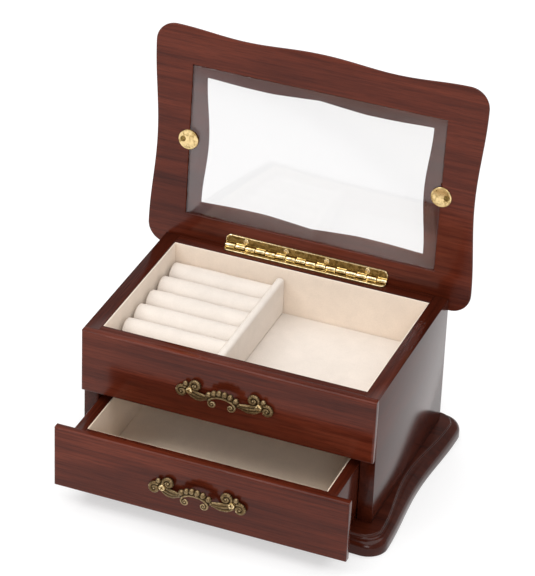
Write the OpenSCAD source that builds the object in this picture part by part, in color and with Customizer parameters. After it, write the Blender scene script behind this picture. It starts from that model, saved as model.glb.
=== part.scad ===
// Jewellery chest: a lined ring tray under a glazed lid, with one drawer below it.
// The origin is the centre of the plinth's underside. +X is to the right, -Y is the front.

/* [Case] */
// Width of the case, outside to outside
case_w = 220; // [200:1:240]
// Depth of the case with its front panels
case_d = 149.4; // [140:0.2:160]
// Height of the case above the plinth
case_h = 103.4; // [98:0.2:112]
// Thickness of the side and back boards
board_t = 11; // [9:0.5:12]
// Thickness of the two front panels
panel_t = 6; // [5:0.5:7]
// Height of the fixed upper panel
upper_panel_h = 50; // [46:0.5:52]

/* [Plinth and lid outline] */
// Width of the plinth over its rounded corners
plinth_w = 250; // [246:1:262]
// Depth of the plinth over its rounded corners
plinth_d = 180; // [176:1:186]
// Width of the lid over its rounded corners
lid_w = 251; // [246:1:262]
// Depth of the lid over its rounded corners
lid_d = 176; // [174:1:184]
// How far the sides draw in at the middle
side_wave = 4; // [0:0.5:6]
// How far the front and back draw in between crest and corner
front_wave = 3; // [0:0.5:5]
// Radius of the outline's corners
corner_r = 15; // [12:1:18]
// Height of the plinth
plinth_h = 13.6; // [12:0.2:16]
// Thickness of the lid frame
lid_t = 12; // [11:0.5:14]

/* [Lid window] */
// Width of the window at its corners
window_w = 172; // [160:1:178]
// Depth of the window at its corners
window_d = 99.6; // [90:0.2:102]
// Width of the pane's rebate
rebate_w = 193; // [188:1:198]
// Depth of the pane's rebate
rebate_d = 118.8; // [112:0.2:122]
// Thickness of the glass
glass_t = 3; // [2:0.5:4]

/* [Hinge] */
// Length of the piano hinge
hinge_l = 126; // [110:2:140]
// Number of knuckles, both leaves together
knuckles = 16; // [12:2:20]
// Radius of the knuckles
knuckle_r = 1.8; // [1.7:0.1:2]
// Angle of the open lid from closed
lid_angle = 93.5; // [91:0.5:95]

/* [Tray] */
// Depth from the rim to the tray's floor
tray_depth = 37.5; // [34:0.5:38]
// Width of the ring compartment
ring_w = 81; // [70:1:90]
// Thickness of the padded divider
divider_t = 6; // [4:0.5:7]

/* [Drawer] */
// Height of the drawer's front panel
drawer_panel_h = 48.8; // [45:0.2:48.8]
// Height of the drawer box
drawer_box_h = 46; // [40:0.5:47]
// How far the drawer stands open
drawer_open = 44.8; // [0:0.2:90]

/* [Pulls] */
// Distance between a pull's two screws
pull_pitch = 52; // [48:1:58]
// How far a pull bows out from its panel
pull_bow = 9; // [7.5:0.5:11]

/* [Hidden] */
$fn = 48;

wood = [0.36, 0.13, 0.10];
velvet = [0.94, 0.90, 0.83];
bronze = [0.48, 0.39, 0.22];
gold = [0.86, 0.68, 0.30];

rim_z = plinth_h + case_h;
half_w = case_w / 2;
front_y = -case_d / 2;
back_y = case_d / 2;
body_front_y = front_y + panel_t;
inner_w = case_w - 2 * board_t;
eps = 0.01;

// Tray
lining_t = 1;
back_t = board_t - lining_t;
tray_front_y = body_front_y + 5.8;
tray_back_y = back_y - back_t;
tray_board_t = 5;
pad_t = 1.5;
tray_floor_z = rim_z - tray_depth;
tray_board_top_z = tray_floor_z - pad_t;
tray_inner_w = inner_w - 2 * lining_t;
tray_y0 = tray_front_y + lining_t;
tray_y1 = tray_back_y - lining_t;
lining_drop = 0.6;
divider_x = -tray_inner_w / 2 + ring_w + divider_t / 2;
divider_h = 30;
roll_count = 6;
roll_pitch = (tray_y1 - tray_y0) / roll_count;
roll_gap = 0.3;
roll_r = roll_pitch / 2 - roll_gap;
roll_h = 25.8;
roll_left_gap = 2.5;
roll_right_gap = 1;

// Lid and hinge
hinge_y = back_y - 0.5;
hinge_z = rim_z + knuckle_r;
lid_low_z = hinge_z + knuckle_r;
leaf_t = 0.8;
leaf_w = 8.4;
lower_leaf_w = 6.2;
pin_r = 0.9;
fixed_bore_r = 0.9;
turning_bore_r = 0.95;
knuckle_gap = 0.4;
knuckle_l = hinge_l / knuckles;
leaf_screw_pitch = hinge_l / 4;
leaf_screw_r = 1;
leaf_screw_head_r = 1.9;
leaf_screw_head_t = 0.5;
leaf_screw_l = 8;
lid_y = -2;
rebate_h = glass_t + 0.2;
glass_clear = 0.5;
window_wave = 1.5;
window_side_wave = 3.5;
window_crest = 2.9;
window_crest_run = 36;
lid_crest_power = 1.05;
plinth_crest_power = 1.4;

// How much more the plinth's sides draw in for each millimetre of inset
plinth_pinch = 0.5;

// Glass retainers: eccentric discs, each on one screw
retainer_r = 7.75;
retainer_t = 0.9;
retainer_screw_x = 101;
retainer_offset = 4.1;
retainer_screw_r = 1.2;
retainer_clear = 0.05;
retainer_head_r = 2.4;
retainer_head_t = 0.4;
retainer_screw_l = 8;

// Drawer, drawn where it stands open
drawer_clear = 0.8;
panel_foot_z = plinth_h + 0.3;
box_foot_z = plinth_h + 0.7;
box_top_z = box_foot_z + drawer_box_h;
box_half_w = inner_w / 2 - drawer_clear;
box_wall_t = 8;
box_front_t = 6;
box_l = 130;
box_front_y = body_front_y - drawer_open;
box_back_y = box_front_y + box_l;
box_inner_half_w = box_half_w - box_wall_t;
box_inner_y0 = box_front_y + box_front_t;
box_inner_y1 = box_back_y - box_wall_t;
bottom_t = 4;
bottom_z = box_foot_z + 2;
drawer_floor_z = bottom_z + bottom_t + pad_t;

// Pulls
upper_pull_z = rim_z - upper_panel_h / 2;
lower_pull_z = panel_foot_z + drawer_panel_h / 2;
pull_plate_t = 3;
pull_screw_r = 1.4;
pull_screw_head_r = 2.5;
pull_screw_head_t = 1.2;
pull_screw_l = 13;
rosette_r = 5.2;
scroll_r = 4.2;
bar_r = 2.3;
bar_overrun = 4;
bar_tilt = 30;
bead_r = 2;
bead_step = 5.2;
bead_rise = 2.7;
bead_fall = 0.35;

// Plinth screws, driven up into the side boards
plinth_screw_r = 1.7;
plinth_screw_head_r = 3.6;
plinth_screw_head_h = 2.4;
plinth_screw_sink = 1;
plinth_screw_l = 30;
plinth_screw_x = half_w - board_t / 2;
plinth_screw_ys = [-52, 0, 52];

// ---- outlines ----

// Depth at x: a crest in the middle, a dip on each side of it, and a crest where the corner starts
function long_edge(x, run, depth, wave, crest_power) =
    depth / 2 - wave * pow(sin(180 * pow(abs(x) / run, crest_power)), 2);

// Width at y: drawn in at the middle
function short_edge(y, run, width, wave) =
    width / 2 - wave * pow(cos(90 * abs(y) / run), 2);

// A serpentine outline with round corners: front edge, then corner, then side, all the way round
module serpentine(width, depth, radius, crest_power, wave) {
    run_x = width / 2 - radius;
    run_y = depth / 2 - radius;
    steps_x = 24;
    steps_y = 16;
    steps_r = 8;
    front = [for (i = [0:steps_x]) let (x = -run_x + 2 * run_x * i / steps_x)
        [x, -long_edge(x, run_x, depth, front_wave, crest_power)]];
    front_right = [for (i = [1:steps_r - 1]) let (a = -90 + 90 * i / steps_r)
        [run_x + radius * cos(a), -run_y + radius * sin(a)]];
    right = [for (i = [0:steps_y]) let (y = -run_y + 2 * run_y * i / steps_y)
        [short_edge(y, run_y, width, wave), y]];
    back_right = [for (i = [1:steps_r - 1]) let (a = 90 * i / steps_r)
        [run_x + radius * cos(a), run_y + radius * sin(a)]];
    half = concat(front, front_right, right, back_right);
    polygon(concat(half, [for (p = half) -p]));
}

// The window's depth at x: a pointed crest in the middle, and corners that stand out a little
function window_edge(x, run) =
    window_d / 2 - window_wave * pow(cos(90 * pow(abs(x) / run, 3)), 2)
    + window_crest * pow(1 - min(1, abs(x) / window_crest_run), 1.1);

// The lid's window, with sharp corners, made larger all round by grow
module window_outline(grow) {
    run_x = window_w / 2;
    run_y = window_d / 2;
    steps_x = 32;
    steps_y = 12;
    front = [for (i = [0:steps_x - 1]) let (x = -run_x + 2 * run_x * i / steps_x)
        [x, -window_edge(x, run_x)]];
    right = [for (i = [0:steps_y - 1]) let (y = -run_y + 2 * run_y * i / steps_y)
        [short_edge(y, run_y, window_w, window_side_wave), y]];
    half = [for (p = concat(front, right)) [p[0] * (1 + grow / run_x), p[1] * (1 + grow / run_y)]];
    polygon(concat(half, [for (p = half) -p]));
}

// One step of the window's sloping edge, with heights above the lid's inner face
module window_cut(z0, z1, grow) {
    translate([0, lid_y, lid_low_z + z0])
        linear_extrude(height = z1 - z0)
            window_outline(grow);
}

// One layer of a moulding, drawn in by an inset all round
module layer(z0, z1, inset, width, depth, crest_power, wave) {
    translate([0, 0, z0])
        linear_extrude(height = z1 - z0)
            serpentine(width - 2 * inset, depth - 2 * inset, corner_r - inset * 0.5, crest_power,
                wave);
}

module plinth_layer(z0, z1, inset) {
    layer(z0, z1, inset, plinth_w, plinth_d, plinth_crest_power, side_wave + plinth_pinch * inset);
}

module lid_layer(z0, z1, inset) {
    layer(z0, z1, inset, lid_w, lid_d, lid_crest_power, side_wave);
}

// A box from its low corner to its high corner
module block(low, high) {
    translate(low)
        cube(high - low);
}

// Puts what is drawn for a closed lid where the open lid stands
module at_lid() {
    translate([0, hinge_y, hinge_z])
        rotate([-lid_angle, 0, 0])
            translate([0, -hinge_y, -hinge_z])
                children();
}

// A cylinder along Y, from a front point back into the panel
module along_y(x, y, z, r, h) {
    translate([x, y, z])
        rotate([-90, 0, 0])
            cylinder(r = r, h = h);
}

// ---- case ----

module base_plinth() {
    color(wood) difference() {
        union() {
            plinth_layer(0, 5.5, 0);
            plinth_layer(5.5, 8, 0.9);
            plinth_layer(8, 10, 2.6);
            plinth_layer(10, 11.6, 5.2);
            plinth_layer(11.6, plinth_h, 7);
        }
        for (side = [-1, 1], y = plinth_screw_ys)
            translate([side * plinth_screw_x, y, 0]) plinth_screw_hole();
    }
}

module plinth_screw_hole() {
    translate([0, 0, -eps])
        cylinder(r = plinth_screw_head_r, h = plinth_screw_sink + plinth_screw_head_h + eps);
    cylinder(r = plinth_screw_r, h = plinth_screw_sink + plinth_screw_l);
}

module plinth_screws() {
    color("silver")
        for (side = [-1, 1], y = plinth_screw_ys)
            translate([side * plinth_screw_x, y, plinth_screw_sink]) {
                cylinder(r = plinth_screw_head_r, h = plinth_screw_head_h);
                cylinder(r = plinth_screw_r, h = plinth_screw_l);
            }
}

module side_board(side) {
    x0 = side > 0 ? half_w - board_t : -half_w;
    color(wood) difference() {
        block([x0, body_front_y, plinth_h], [x0 + board_t, back_y, rim_z]);
        for (y = plinth_screw_ys)
            translate([side * plinth_screw_x, y, 0])
                cylinder(r = plinth_screw_r, h = plinth_screw_sink + plinth_screw_l);
    }
}

module side_left() {
    side_board(-1);
}

module side_right() {
    side_board(1);
}

module back_panel() {
    color(wood) difference() {
        block([-inner_w / 2, tray_back_y, plinth_h], [inner_w / 2, back_y, rim_z]);
        leaf_screw_holes_lower();
    }
}

module front_wall() {
    color(wood) difference() {
        block([-inner_w / 2, body_front_y, rim_z - upper_panel_h],
            [inner_w / 2, tray_front_y, rim_z]);
        pull_screw_holes(front_y, upper_pull_z);
    }
}

module false_front() {
    color(wood) difference() {
        block([-half_w, front_y, rim_z - upper_panel_h], [half_w, body_front_y, rim_z]);
        pull_screw_holes(front_y, upper_pull_z);
    }
}

module tray_board() {
    color(wood)
        block([-inner_w / 2, tray_front_y, tray_board_top_z - tray_board_t],
            [inner_w / 2, tray_back_y, tray_board_top_z]);
}

// ---- tray lining and fittings ----

module tray_lining_front() {
    color(velvet)
        block([-inner_w / 2, tray_front_y, tray_board_top_z],
            [inner_w / 2, tray_y0, rim_z - lining_drop]);
}

module tray_lining_back() {
    color(velvet)
        block([-inner_w / 2, tray_y1, tray_board_top_z],
            [inner_w / 2, tray_back_y, rim_z - lining_drop]);
}

module tray_lining_side(side) {
    x0 = side > 0 ? inner_w / 2 - lining_t : -inner_w / 2;
    color(velvet)
        block([x0, tray_y0, tray_board_top_z], [x0 + lining_t, tray_y1, rim_z - lining_drop]);
}

module tray_lining_left() {
    tray_lining_side(-1);
}

module tray_lining_right() {
    tray_lining_side(1);
}

module tray_floor_pad() {
    color(velvet)
        block([-tray_inner_w / 2, tray_y0, tray_board_top_z],
            [tray_inner_w / 2, tray_y1, tray_floor_z]);
}

// A padded board with a rounded top edge
module tray_divider() {
    y0 = tray_y0 + 0.2;
    length = tray_y1 - tray_y0 - 1.2;
    color(velvet) {
        block([divider_x - divider_t / 2, y0, tray_floor_z],
            [divider_x + divider_t / 2, y0 + length, tray_floor_z + divider_h - divider_t / 2]);
        translate([divider_x, y0, tray_floor_z + divider_h - divider_t / 2])
            rotate([-90, 0, 0])
                cylinder(r = divider_t / 2, h = length);
    }
}

// A foam roll: half round on top, with straight sides down to the floor
module ring_roll(index) {
    x0 = -tray_inner_w / 2 + roll_left_gap;
    length = ring_w - roll_left_gap - roll_right_gap;
    y = tray_y1 - roll_pitch * (index - 0.5);
    centre_z = tray_floor_z + roll_h - roll_r;
    color(velvet) {
        translate([x0, y, centre_z])
            rotate([0, 90, 0])
                cylinder(r = roll_r, h = length);
        block([x0, y - roll_r, tray_floor_z], [x0 + length, y + roll_r, centre_z]);
    }
}

module ring_roll_1() {
    ring_roll(1);
}

module ring_roll_2() {
    ring_roll(2);
}

module ring_roll_3() {
    ring_roll(3);
}

module ring_roll_4() {
    ring_roll(4);
}

module ring_roll_5() {
    ring_roll(5);
}

module ring_roll_6() {
    ring_roll(6);
}

// ---- hinge ----

// Every other knuckle belongs to the same leaf: first is 0 or 1
module knuckle_row(first, bore_r) {
    for (i = [first:2:knuckles - 1])
        translate([-hinge_l / 2 + i * knuckle_l + knuckle_gap / 2, hinge_y, hinge_z])
            rotate([0, 90, 0])
                difference() {
                    cylinder(r = knuckle_r, h = knuckle_l - knuckle_gap);
                    translate([0, 0, -1])
                        cylinder(r = bore_r, h = knuckle_l + 2);
                }
}

// The webs that join a leaf's knuckles to its plate
module knuckle_webs(first, z0) {
    for (i = [first:2:knuckles - 1])
        translate([-hinge_l / 2 + i * knuckle_l + knuckle_gap / 2, hinge_y - knuckle_r - 0.4, z0])
            cube([knuckle_l - knuckle_gap, 1.4, leaf_t]);
}

module leaf_plate(width, z0) {
    edge = knuckle_r + 0.2;
    round_r = 4;
    y0 = hinge_y - width;
    y1 = hinge_y - edge;
    difference() {
        translate([0, 0, z0])
            linear_extrude(height = leaf_t)
                union() {
                    translate([-hinge_l / 2 + round_r, y0])
                        square([hinge_l - 2 * round_r, y1 - y0]);
                    translate([-hinge_l / 2, y0 + round_r])
                        square([hinge_l, round_r]);
                    for (side = [-1, 1])
                        translate([side * (hinge_l / 2 - round_r), y0 + round_r])
                            circle(r = round_r);
                }
        block([-hinge_l, y1, z0 - 1], [hinge_l, y1 + 2 * round_r, z0 + leaf_t + 1]);
    }
}

function leaf_screw_x(i) = (i - 1.5) * leaf_screw_pitch;

lower_screw_y = hinge_y - 4.1;
upper_screw_y = hinge_y - 5;

module leaf_screw_holes_lower() {
    for (i = [0:3])
        translate([leaf_screw_x(i), lower_screw_y, rim_z + leaf_t - leaf_screw_l])
            cylinder(r = leaf_screw_r, h = leaf_screw_l + 1);
}

module leaf_screw_holes_upper() {
    for (i = [0:3])
        translate([leaf_screw_x(i), upper_screw_y, lid_low_z - leaf_t - 1])
            cylinder(r = leaf_screw_r, h = leaf_screw_l + 1);
}

module hinge_leaf_lower() {
    color(gold) difference() {
        union() {
            knuckle_row(0, fixed_bore_r);
            knuckle_webs(0, rim_z);
            leaf_plate(lower_leaf_w, rim_z);
        }
        leaf_screw_holes_lower();
        leaf_screw_heads_lower();
        hinge_bore(fixed_bore_r);
    }
}

module hinge_bore(bore_r) {
    translate([-hinge_l / 2 - 1, hinge_y, hinge_z])
        rotate([0, 90, 0])
            cylinder(r = bore_r, h = hinge_l + 2);
}

module hinge_pin() {
    color(gold)
        translate([-hinge_l / 2, hinge_y, hinge_z])
            rotate([0, 90, 0])
                cylinder(r = pin_r, h = hinge_l);
}

// The lower leaf's screw heads lie flush with it
module leaf_screw_heads_lower() {
    for (i = [0:3])
        translate([leaf_screw_x(i), lower_screw_y, rim_z + leaf_t - leaf_screw_head_t])
            cylinder(r = leaf_screw_head_r, h = leaf_screw_head_t);
}

module hinge_screws_lower() {
    color(gold) {
        leaf_screw_heads_lower();
        for (i = [0:3])
            translate([leaf_screw_x(i), lower_screw_y, rim_z + leaf_t - leaf_screw_l])
                cylinder(r = leaf_screw_r, h = leaf_screw_l);
    }
}

module hinge_leaf_upper() {
    color(gold) at_lid() difference() {
        union() {
            knuckle_row(1, turning_bore_r);
            knuckle_webs(1, lid_low_z - leaf_t);
            leaf_plate(leaf_w, lid_low_z - leaf_t);
        }
        leaf_screw_holes_upper();
        hinge_bore(turning_bore_r);
    }
}

module hinge_screws_upper() {
    color(gold) at_lid()
        for (i = [0:3])
            translate([leaf_screw_x(i), upper_screw_y, 0]) {
                translate([0, 0, lid_low_z - leaf_t])
                    cylinder(r = leaf_screw_r, h = leaf_screw_l);
                translate([0, 0, lid_low_z - leaf_t - leaf_screw_head_t])
                    cylinder(r = leaf_screw_head_r, h = leaf_screw_head_t);
            }
}

// ---- lid ----

module lid_frame() {
    color(wood) at_lid() difference() {
        translate([0, lid_y, lid_low_z]) {
            lid_layer(0, 1.6, 0);
            lid_layer(1.6, 3.4, 3);
            lid_layer(3.4, 6, 5.5);
            lid_layer(6, 9.5, 7.4);
            lid_layer(9.5, lid_t, 8.6);
        }
        window_cut(-1, lid_t + 1, 0);
        window_cut(4.4, lid_t + 1, 1.5);
        window_cut(6.4, lid_t + 1, 3.5);
        window_cut(8.4, lid_t + 1, 5.5);
        window_cut(10.4, lid_t + 1, 7.2);
        block([-rebate_w / 2, lid_y - rebate_d / 2, lid_low_z - 1],
            [rebate_w / 2, lid_y + rebate_d / 2, lid_low_z + rebate_h]);
        leaf_screw_holes_upper();
        retainer_screw_holes(retainer_screw_r, lid_low_z - 1, retainer_screw_l + 1);
    }
}

module glass_pane() {
    color([0.85, 0.92, 0.92, 0.35]) at_lid()
        block([-rebate_w / 2 + glass_clear, lid_y - rebate_d / 2 + glass_clear, lid_low_z + 0.1],
            [rebate_w / 2 - glass_clear, lid_y + rebate_d / 2 - glass_clear,
                lid_low_z + 0.1 + glass_t]);
}

module retainer_screw_holes(r, z0, h) {
    for (side = [-1, 1])
        translate([side * retainer_screw_x, lid_y, z0])
            cylinder(r = r, h = h);
}

module retainer_screws() {
    color(gold) at_lid() {
        retainer_screw_holes(retainer_screw_r, lid_low_z - retainer_t, retainer_screw_l);
        retainer_screw_holes(retainer_head_r, lid_low_z - retainer_t - retainer_clear
            - retainer_head_t, retainer_head_t);
        retainer_screw_holes(retainer_screw_r, lid_low_z - retainer_t - retainer_clear
            - retainer_head_t, 1);
    }
}

module retainer(side) {
    color(gold) at_lid() difference() {
        translate([side * (retainer_screw_x - retainer_offset), lid_y, lid_low_z - retainer_t])
            cylinder(r = retainer_r, h = retainer_t - retainer_clear);
        translate([side * retainer_screw_x, lid_y, lid_low_z - retainer_t - 1])
            cylinder(r = retainer_screw_r + retainer_clear, h = retainer_t + 2);
    }
}

module retainer_left() {
    retainer(-1);
}

module retainer_right() {
    retainer(1);
}

// ---- drawer ----

module drawer_front() {
    color(wood) difference() {
        block([-half_w, box_front_y - panel_t, panel_foot_z],
            [half_w, box_front_y, panel_foot_z + drawer_panel_h]);
        pull_screw_holes(box_front_y - panel_t, lower_pull_z);
    }
}

module drawer_inner_front() {
    color(wood) difference() {
        block([-box_inner_half_w, box_front_y, box_foot_z],
            [box_inner_half_w, box_inner_y0, box_top_z]);
        pull_screw_holes(box_front_y - panel_t, lower_pull_z);
    }
}

module drawer_side(side) {
    x0 = side > 0 ? box_inner_half_w : -box_half_w;
    color(wood)
        block([x0, box_front_y, box_foot_z], [x0 + box_wall_t, box_back_y, box_top_z]);
}

module drawer_side_left() {
    drawer_side(-1);
}

module drawer_side_right() {
    drawer_side(1);
}

module drawer_back() {
    color(wood)
        block([-box_inner_half_w, box_inner_y1, box_foot_z],
            [box_inner_half_w, box_back_y, box_top_z]);
}

module drawer_bottom() {
    color(wood)
        block([-box_inner_half_w, box_inner_y0, bottom_z],
            [box_inner_half_w, box_inner_y1, bottom_z + bottom_t]);
}

module drawer_lining_front() {
    color(velvet)
        block([-box_inner_half_w, box_inner_y0, bottom_z + bottom_t],
            [box_inner_half_w, box_inner_y0 + lining_t, box_top_z - lining_drop]);
}

module drawer_lining_back() {
    color(velvet)
        block([-box_inner_half_w, box_inner_y1 - lining_t, bottom_z + bottom_t],
            [box_inner_half_w, box_inner_y1, box_top_z - lining_drop]);
}

module drawer_lining_side(side) {
    x0 = side > 0 ? box_inner_half_w - lining_t : -box_inner_half_w;
    color(velvet)
        block([x0, box_inner_y0 + lining_t, bottom_z + bottom_t],
            [x0 + lining_t, box_inner_y1 - lining_t, box_top_z - lining_drop]);
}

module drawer_lining_left() {
    drawer_lining_side(-1);
}

module drawer_lining_right() {
    drawer_lining_side(1);
}

module drawer_floor_pad() {
    color(velvet)
        block([-box_inner_half_w + lining_t, box_inner_y0 + lining_t, bottom_z + bottom_t],
            [box_inner_half_w - lining_t, box_inner_y1 - lining_t, drawer_floor_z]);
}

// ---- pulls ----

module pull_screw_holes(face_y, z) {
    for (side = [-1, 1])
        along_y(side * pull_pitch / 2, face_y - pull_plate_t - 1, z, pull_screw_r,
            pull_screw_l + 1 - pull_screw_head_t);
}

// The bar that bows out between the rosettes, with a row of beads along its top
module pull_bar() {
    half_chord = pull_pitch / 2 - 3;
    bow = pull_bow - bar_r;
    bow_r = (half_chord * half_chord + bow * bow) / (2 * bow);
    bow_angle = asin(half_chord / bow_r) + bar_overrun;
    translate([0, bow_r - pull_bow, 0]) {
        rotate([0, 0, -90 - bow_angle])
            rotate_extrude(angle = 2 * bow_angle)
                translate([bow_r, 0])
                    circle(r = bar_r);
        for (i = [-2.5:2.5])
            translate([bow_r * sin(bead_step * i), -bow_r * cos(bead_step * i),
                bead_rise - bead_fall * i * i])
                sphere(r = bead_r);
    }
}

// A cast pull: a rosette and two scrolls at each end, and a bar that bows out and up between them
module pull(face_y, z) {
    color(bronze) difference() {
        union() {
            for (side = [-1, 1]) {
                along_y(side * pull_pitch / 2, face_y - pull_plate_t, z, rosette_r, pull_plate_t);
                along_y(side * (pull_pitch / 2 + 5.8), face_y - pull_plate_t + 0.5, z - 2,
                    scroll_r, pull_plate_t - 0.5);
                along_y(side * (pull_pitch / 2 - 4.6), face_y - pull_plate_t + 0.5, z - 1,
                    scroll_r - 1, pull_plate_t - 0.5);
            }
            intersection() {
                translate([0, face_y, z])
                    rotate([-bar_tilt, 0, 0])
                        pull_bar();
                block([-case_w / 2, face_y - 40, z - 20], [case_w / 2, face_y, z + 20]);
            }
        }
        pull_screw_holes(face_y, z);
        for (side = [-1, 1])
            along_y(side * pull_pitch / 2, face_y - pull_plate_t - pull_bow, z,
                pull_screw_head_r + 0.1, pull_bow);
    }
}

module pull_screw_pair(face_y, z) {
    color(gold)
        for (side = [-1, 1]) {
            along_y(side * pull_pitch / 2, face_y - pull_plate_t, z, pull_screw_r,
                pull_screw_l - pull_screw_head_t);
            along_y(side * pull_pitch / 2, face_y - pull_plate_t - pull_screw_head_t, z,
                pull_screw_head_r, pull_screw_head_t);
        }
}

module pull_upper() {
    pull(front_y, upper_pull_z);
}

module pull_upper_screws() {
    pull_screw_pair(front_y, upper_pull_z);
}

module pull_lower() {
    pull(box_front_y - panel_t, lower_pull_z);
}

module pull_lower_screws() {
    pull_screw_pair(box_front_y - panel_t, lower_pull_z);
}

base_plinth();
plinth_screws();
side_left();
side_right();
back_panel();
front_wall();
false_front();
tray_board();
tray_lining_front();
tray_lining_back();
tray_lining_left();
tray_lining_right();
tray_floor_pad();
tray_divider();
ring_roll_1();
ring_roll_2();
ring_roll_3();
ring_roll_4();
ring_roll_5();
ring_roll_6();
pull_upper();
pull_upper_screws();
hinge_leaf_lower();
hinge_pin();
hinge_screws_lower();
lid_frame();
glass_pane();
hinge_leaf_upper();
hinge_screws_upper();
retainer_screws();
retainer_left();
retainer_right();
drawer_front();
drawer_inner_front();
drawer_side_left();
drawer_side_right();
drawer_back();
drawer_bottom();
drawer_lining_front();
drawer_lining_back();
drawer_lining_left();
drawer_lining_right();
drawer_floor_pad();
pull_lower();
pull_lower_screws();
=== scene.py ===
"""Looks for the jewellery chest with drawers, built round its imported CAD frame."""

import math

import bmesh
import bpy
from mathutils import Matrix, Vector
from mathutils.geometry import tessellate_polygon
from mathutils.noise import noise


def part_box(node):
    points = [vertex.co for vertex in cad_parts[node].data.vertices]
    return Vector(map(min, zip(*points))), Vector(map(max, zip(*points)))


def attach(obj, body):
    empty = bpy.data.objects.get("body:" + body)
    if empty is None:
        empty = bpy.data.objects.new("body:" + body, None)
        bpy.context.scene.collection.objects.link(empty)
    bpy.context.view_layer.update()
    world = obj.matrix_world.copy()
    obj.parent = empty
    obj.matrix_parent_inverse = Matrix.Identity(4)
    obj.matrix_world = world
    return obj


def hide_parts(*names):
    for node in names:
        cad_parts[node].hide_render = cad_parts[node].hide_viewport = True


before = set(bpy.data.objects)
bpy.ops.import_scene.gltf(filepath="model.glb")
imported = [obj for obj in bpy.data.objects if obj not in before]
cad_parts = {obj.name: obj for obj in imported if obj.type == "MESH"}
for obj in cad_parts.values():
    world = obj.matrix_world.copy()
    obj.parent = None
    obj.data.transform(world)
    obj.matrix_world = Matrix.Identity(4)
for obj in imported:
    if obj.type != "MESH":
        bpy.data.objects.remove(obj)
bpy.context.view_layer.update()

MM = 0.001

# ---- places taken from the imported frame, in millimetres ----


def cad_box(node):
    low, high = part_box(node)
    return low / MM, high / MM


pin_low, pin_high = cad_box("hinge_pin")

FLOOR_Z = cad_box("base_plinth")[0].z
RIM_Z = cad_box("side_right")[1].z
HINGE_Y = (pin_low.y + pin_high.y) / 2
HINGE_Z = (pin_low.z + pin_high.z) / 2
HINGE_HALF = pin_high.x
KNUCKLES = 16
KNUCKLE_R = HINGE_Z - RIM_Z
LID_ANGLE = 93.5
LID_Z = HINGE_Z + KNUCKLE_R
LID_T = 12.0
LID_Y = -2.0
LEAF_T = 0.8

HINGE_POINT = Vector((0, HINGE_Y, HINGE_Z))
TO_OPEN_LID = (Matrix.Translation(HINGE_POINT)
               @ Matrix.Rotation(math.radians(-LID_ANGLE), 4, "X")
               @ Matrix.Translation(-HINGE_POINT))

# ---- mesh helpers ----


def finish_mesh(bm, name, material, body, matrix, sharp, replaces):
    """Turns a bmesh in millimetres into a piece that rides on a body and replaces CAD nodes.

    An edge that turns by sharp degrees or more is shaded as an edge.
    """
    bmesh.ops.remove_doubles(bm, verts=bm.verts, dist=0.0005)
    bmesh.ops.recalc_face_normals(bm, faces=bm.faces)
    if matrix is not None:
        bmesh.ops.transform(bm, matrix=matrix, verts=bm.verts)
    bmesh.ops.scale(bm, vec=(MM, MM, MM), verts=bm.verts)
    for face in bm.faces:
        face.smooth = True
    limit = math.radians(sharp)
    for edge in bm.edges:
        if len(edge.link_faces) == 2:
            edge.smooth = edge.calc_face_angle(0) < limit
    mesh = bpy.data.meshes.new(name)
    bm.to_mesh(mesh)
    bm.free()
    piece = bpy.data.objects.new(name, mesh)
    bpy.context.scene.collection.objects.link(piece)
    mesh.materials.append(material)
    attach(piece, body)
    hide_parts(*replaces)
    return piece


def add_loop(bm, points):
    return [bm.verts.new(p) for p in points]


def bridge(bm, lower, upper):
    count = len(lower)
    for i in range(count):
        j = (i + 1) % count
        bm.faces.new((lower[i], lower[j], upper[j], upper[i]))


def fill(bm, outer, *holes):
    """Flat faces inside an outer loop of vertices, round any holes in it."""
    loops = [outer, *holes]
    verts = sum(loops, [])
    for triangle in tessellate_polygon([[v.co for v in loop] for loop in loops]):
        bm.faces.new([verts[i] for i in triangle])


def round_edges(bm, edges, radius, segments):
    bmesh.ops.bevel(bm, geom=edges, offset=radius, segments=segments, profile=0.5, affect="EDGES",
                    clamp_overlap=True)


def board(name, low, high, material, body, radius, segments=3, matrix=None, replaces=(),
          nose=0.0):
    """A board with rounded edges. nose is the radius round its front face, where it is larger."""
    bm = bmesh.new()
    bmesh.ops.create_cube(bm, size=1)
    size = Vector(high) - Vector(low)
    centre = (Vector(high) + Vector(low)) / 2
    bmesh.ops.transform(bm, matrix=Matrix.Translation(centre) @ Matrix.Diagonal(size.to_4d()),
                        verts=bm.verts)
    if nose:
        front = [e for e in bm.edges if all(v.co.y < centre.y for v in e.verts)]
        round_edges(bm, front, nose, 6)
    square = [e for e in bm.edges if e.calc_face_angle(0) > math.radians(80)]
    round_edges(bm, square, radius, segments)
    return finish_mesh(bm, name, material, body, matrix, 50, replaces)


def cad_board(node, name, material, body, radius, back_gap=0.0, nose=0.0):
    """A board in its CAD node's box, less back_gap off its back."""
    low, high = cad_box(node)
    high.y -= back_gap
    return board(name, low, high, material, body, radius, replaces=[node], nose=nose)


def add_lathe(bm, profile, centre, axis, steps):
    """A closed solid of revolution. profile is (radius, height) pairs from axis to axis."""
    axis = Vector(axis).normalized()
    side = axis.orthogonal().normalized()
    other = axis.cross(side)
    rings = []
    for radius, height in profile:
        base = Vector(centre) + axis * height
        if radius < 1e-6:
            rings.append([bm.verts.new(base)])
        else:
            rings.append([bm.verts.new(base + (side * math.cos(a) + other * math.sin(a)) * radius)
                          for a in (2 * math.pi * i / steps for i in range(steps))])
    for a, b in zip(rings, rings[1:]):
        for i in range(steps):
            j = (i + 1) % steps
            if len(a) == 1:
                bm.faces.new((a[0], b[i], b[j]))
            elif len(b) == 1:
                bm.faces.new((a[i], a[j], b[0]))
            else:
                bm.faces.new((a[i], a[j], b[j], b[i]))


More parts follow.
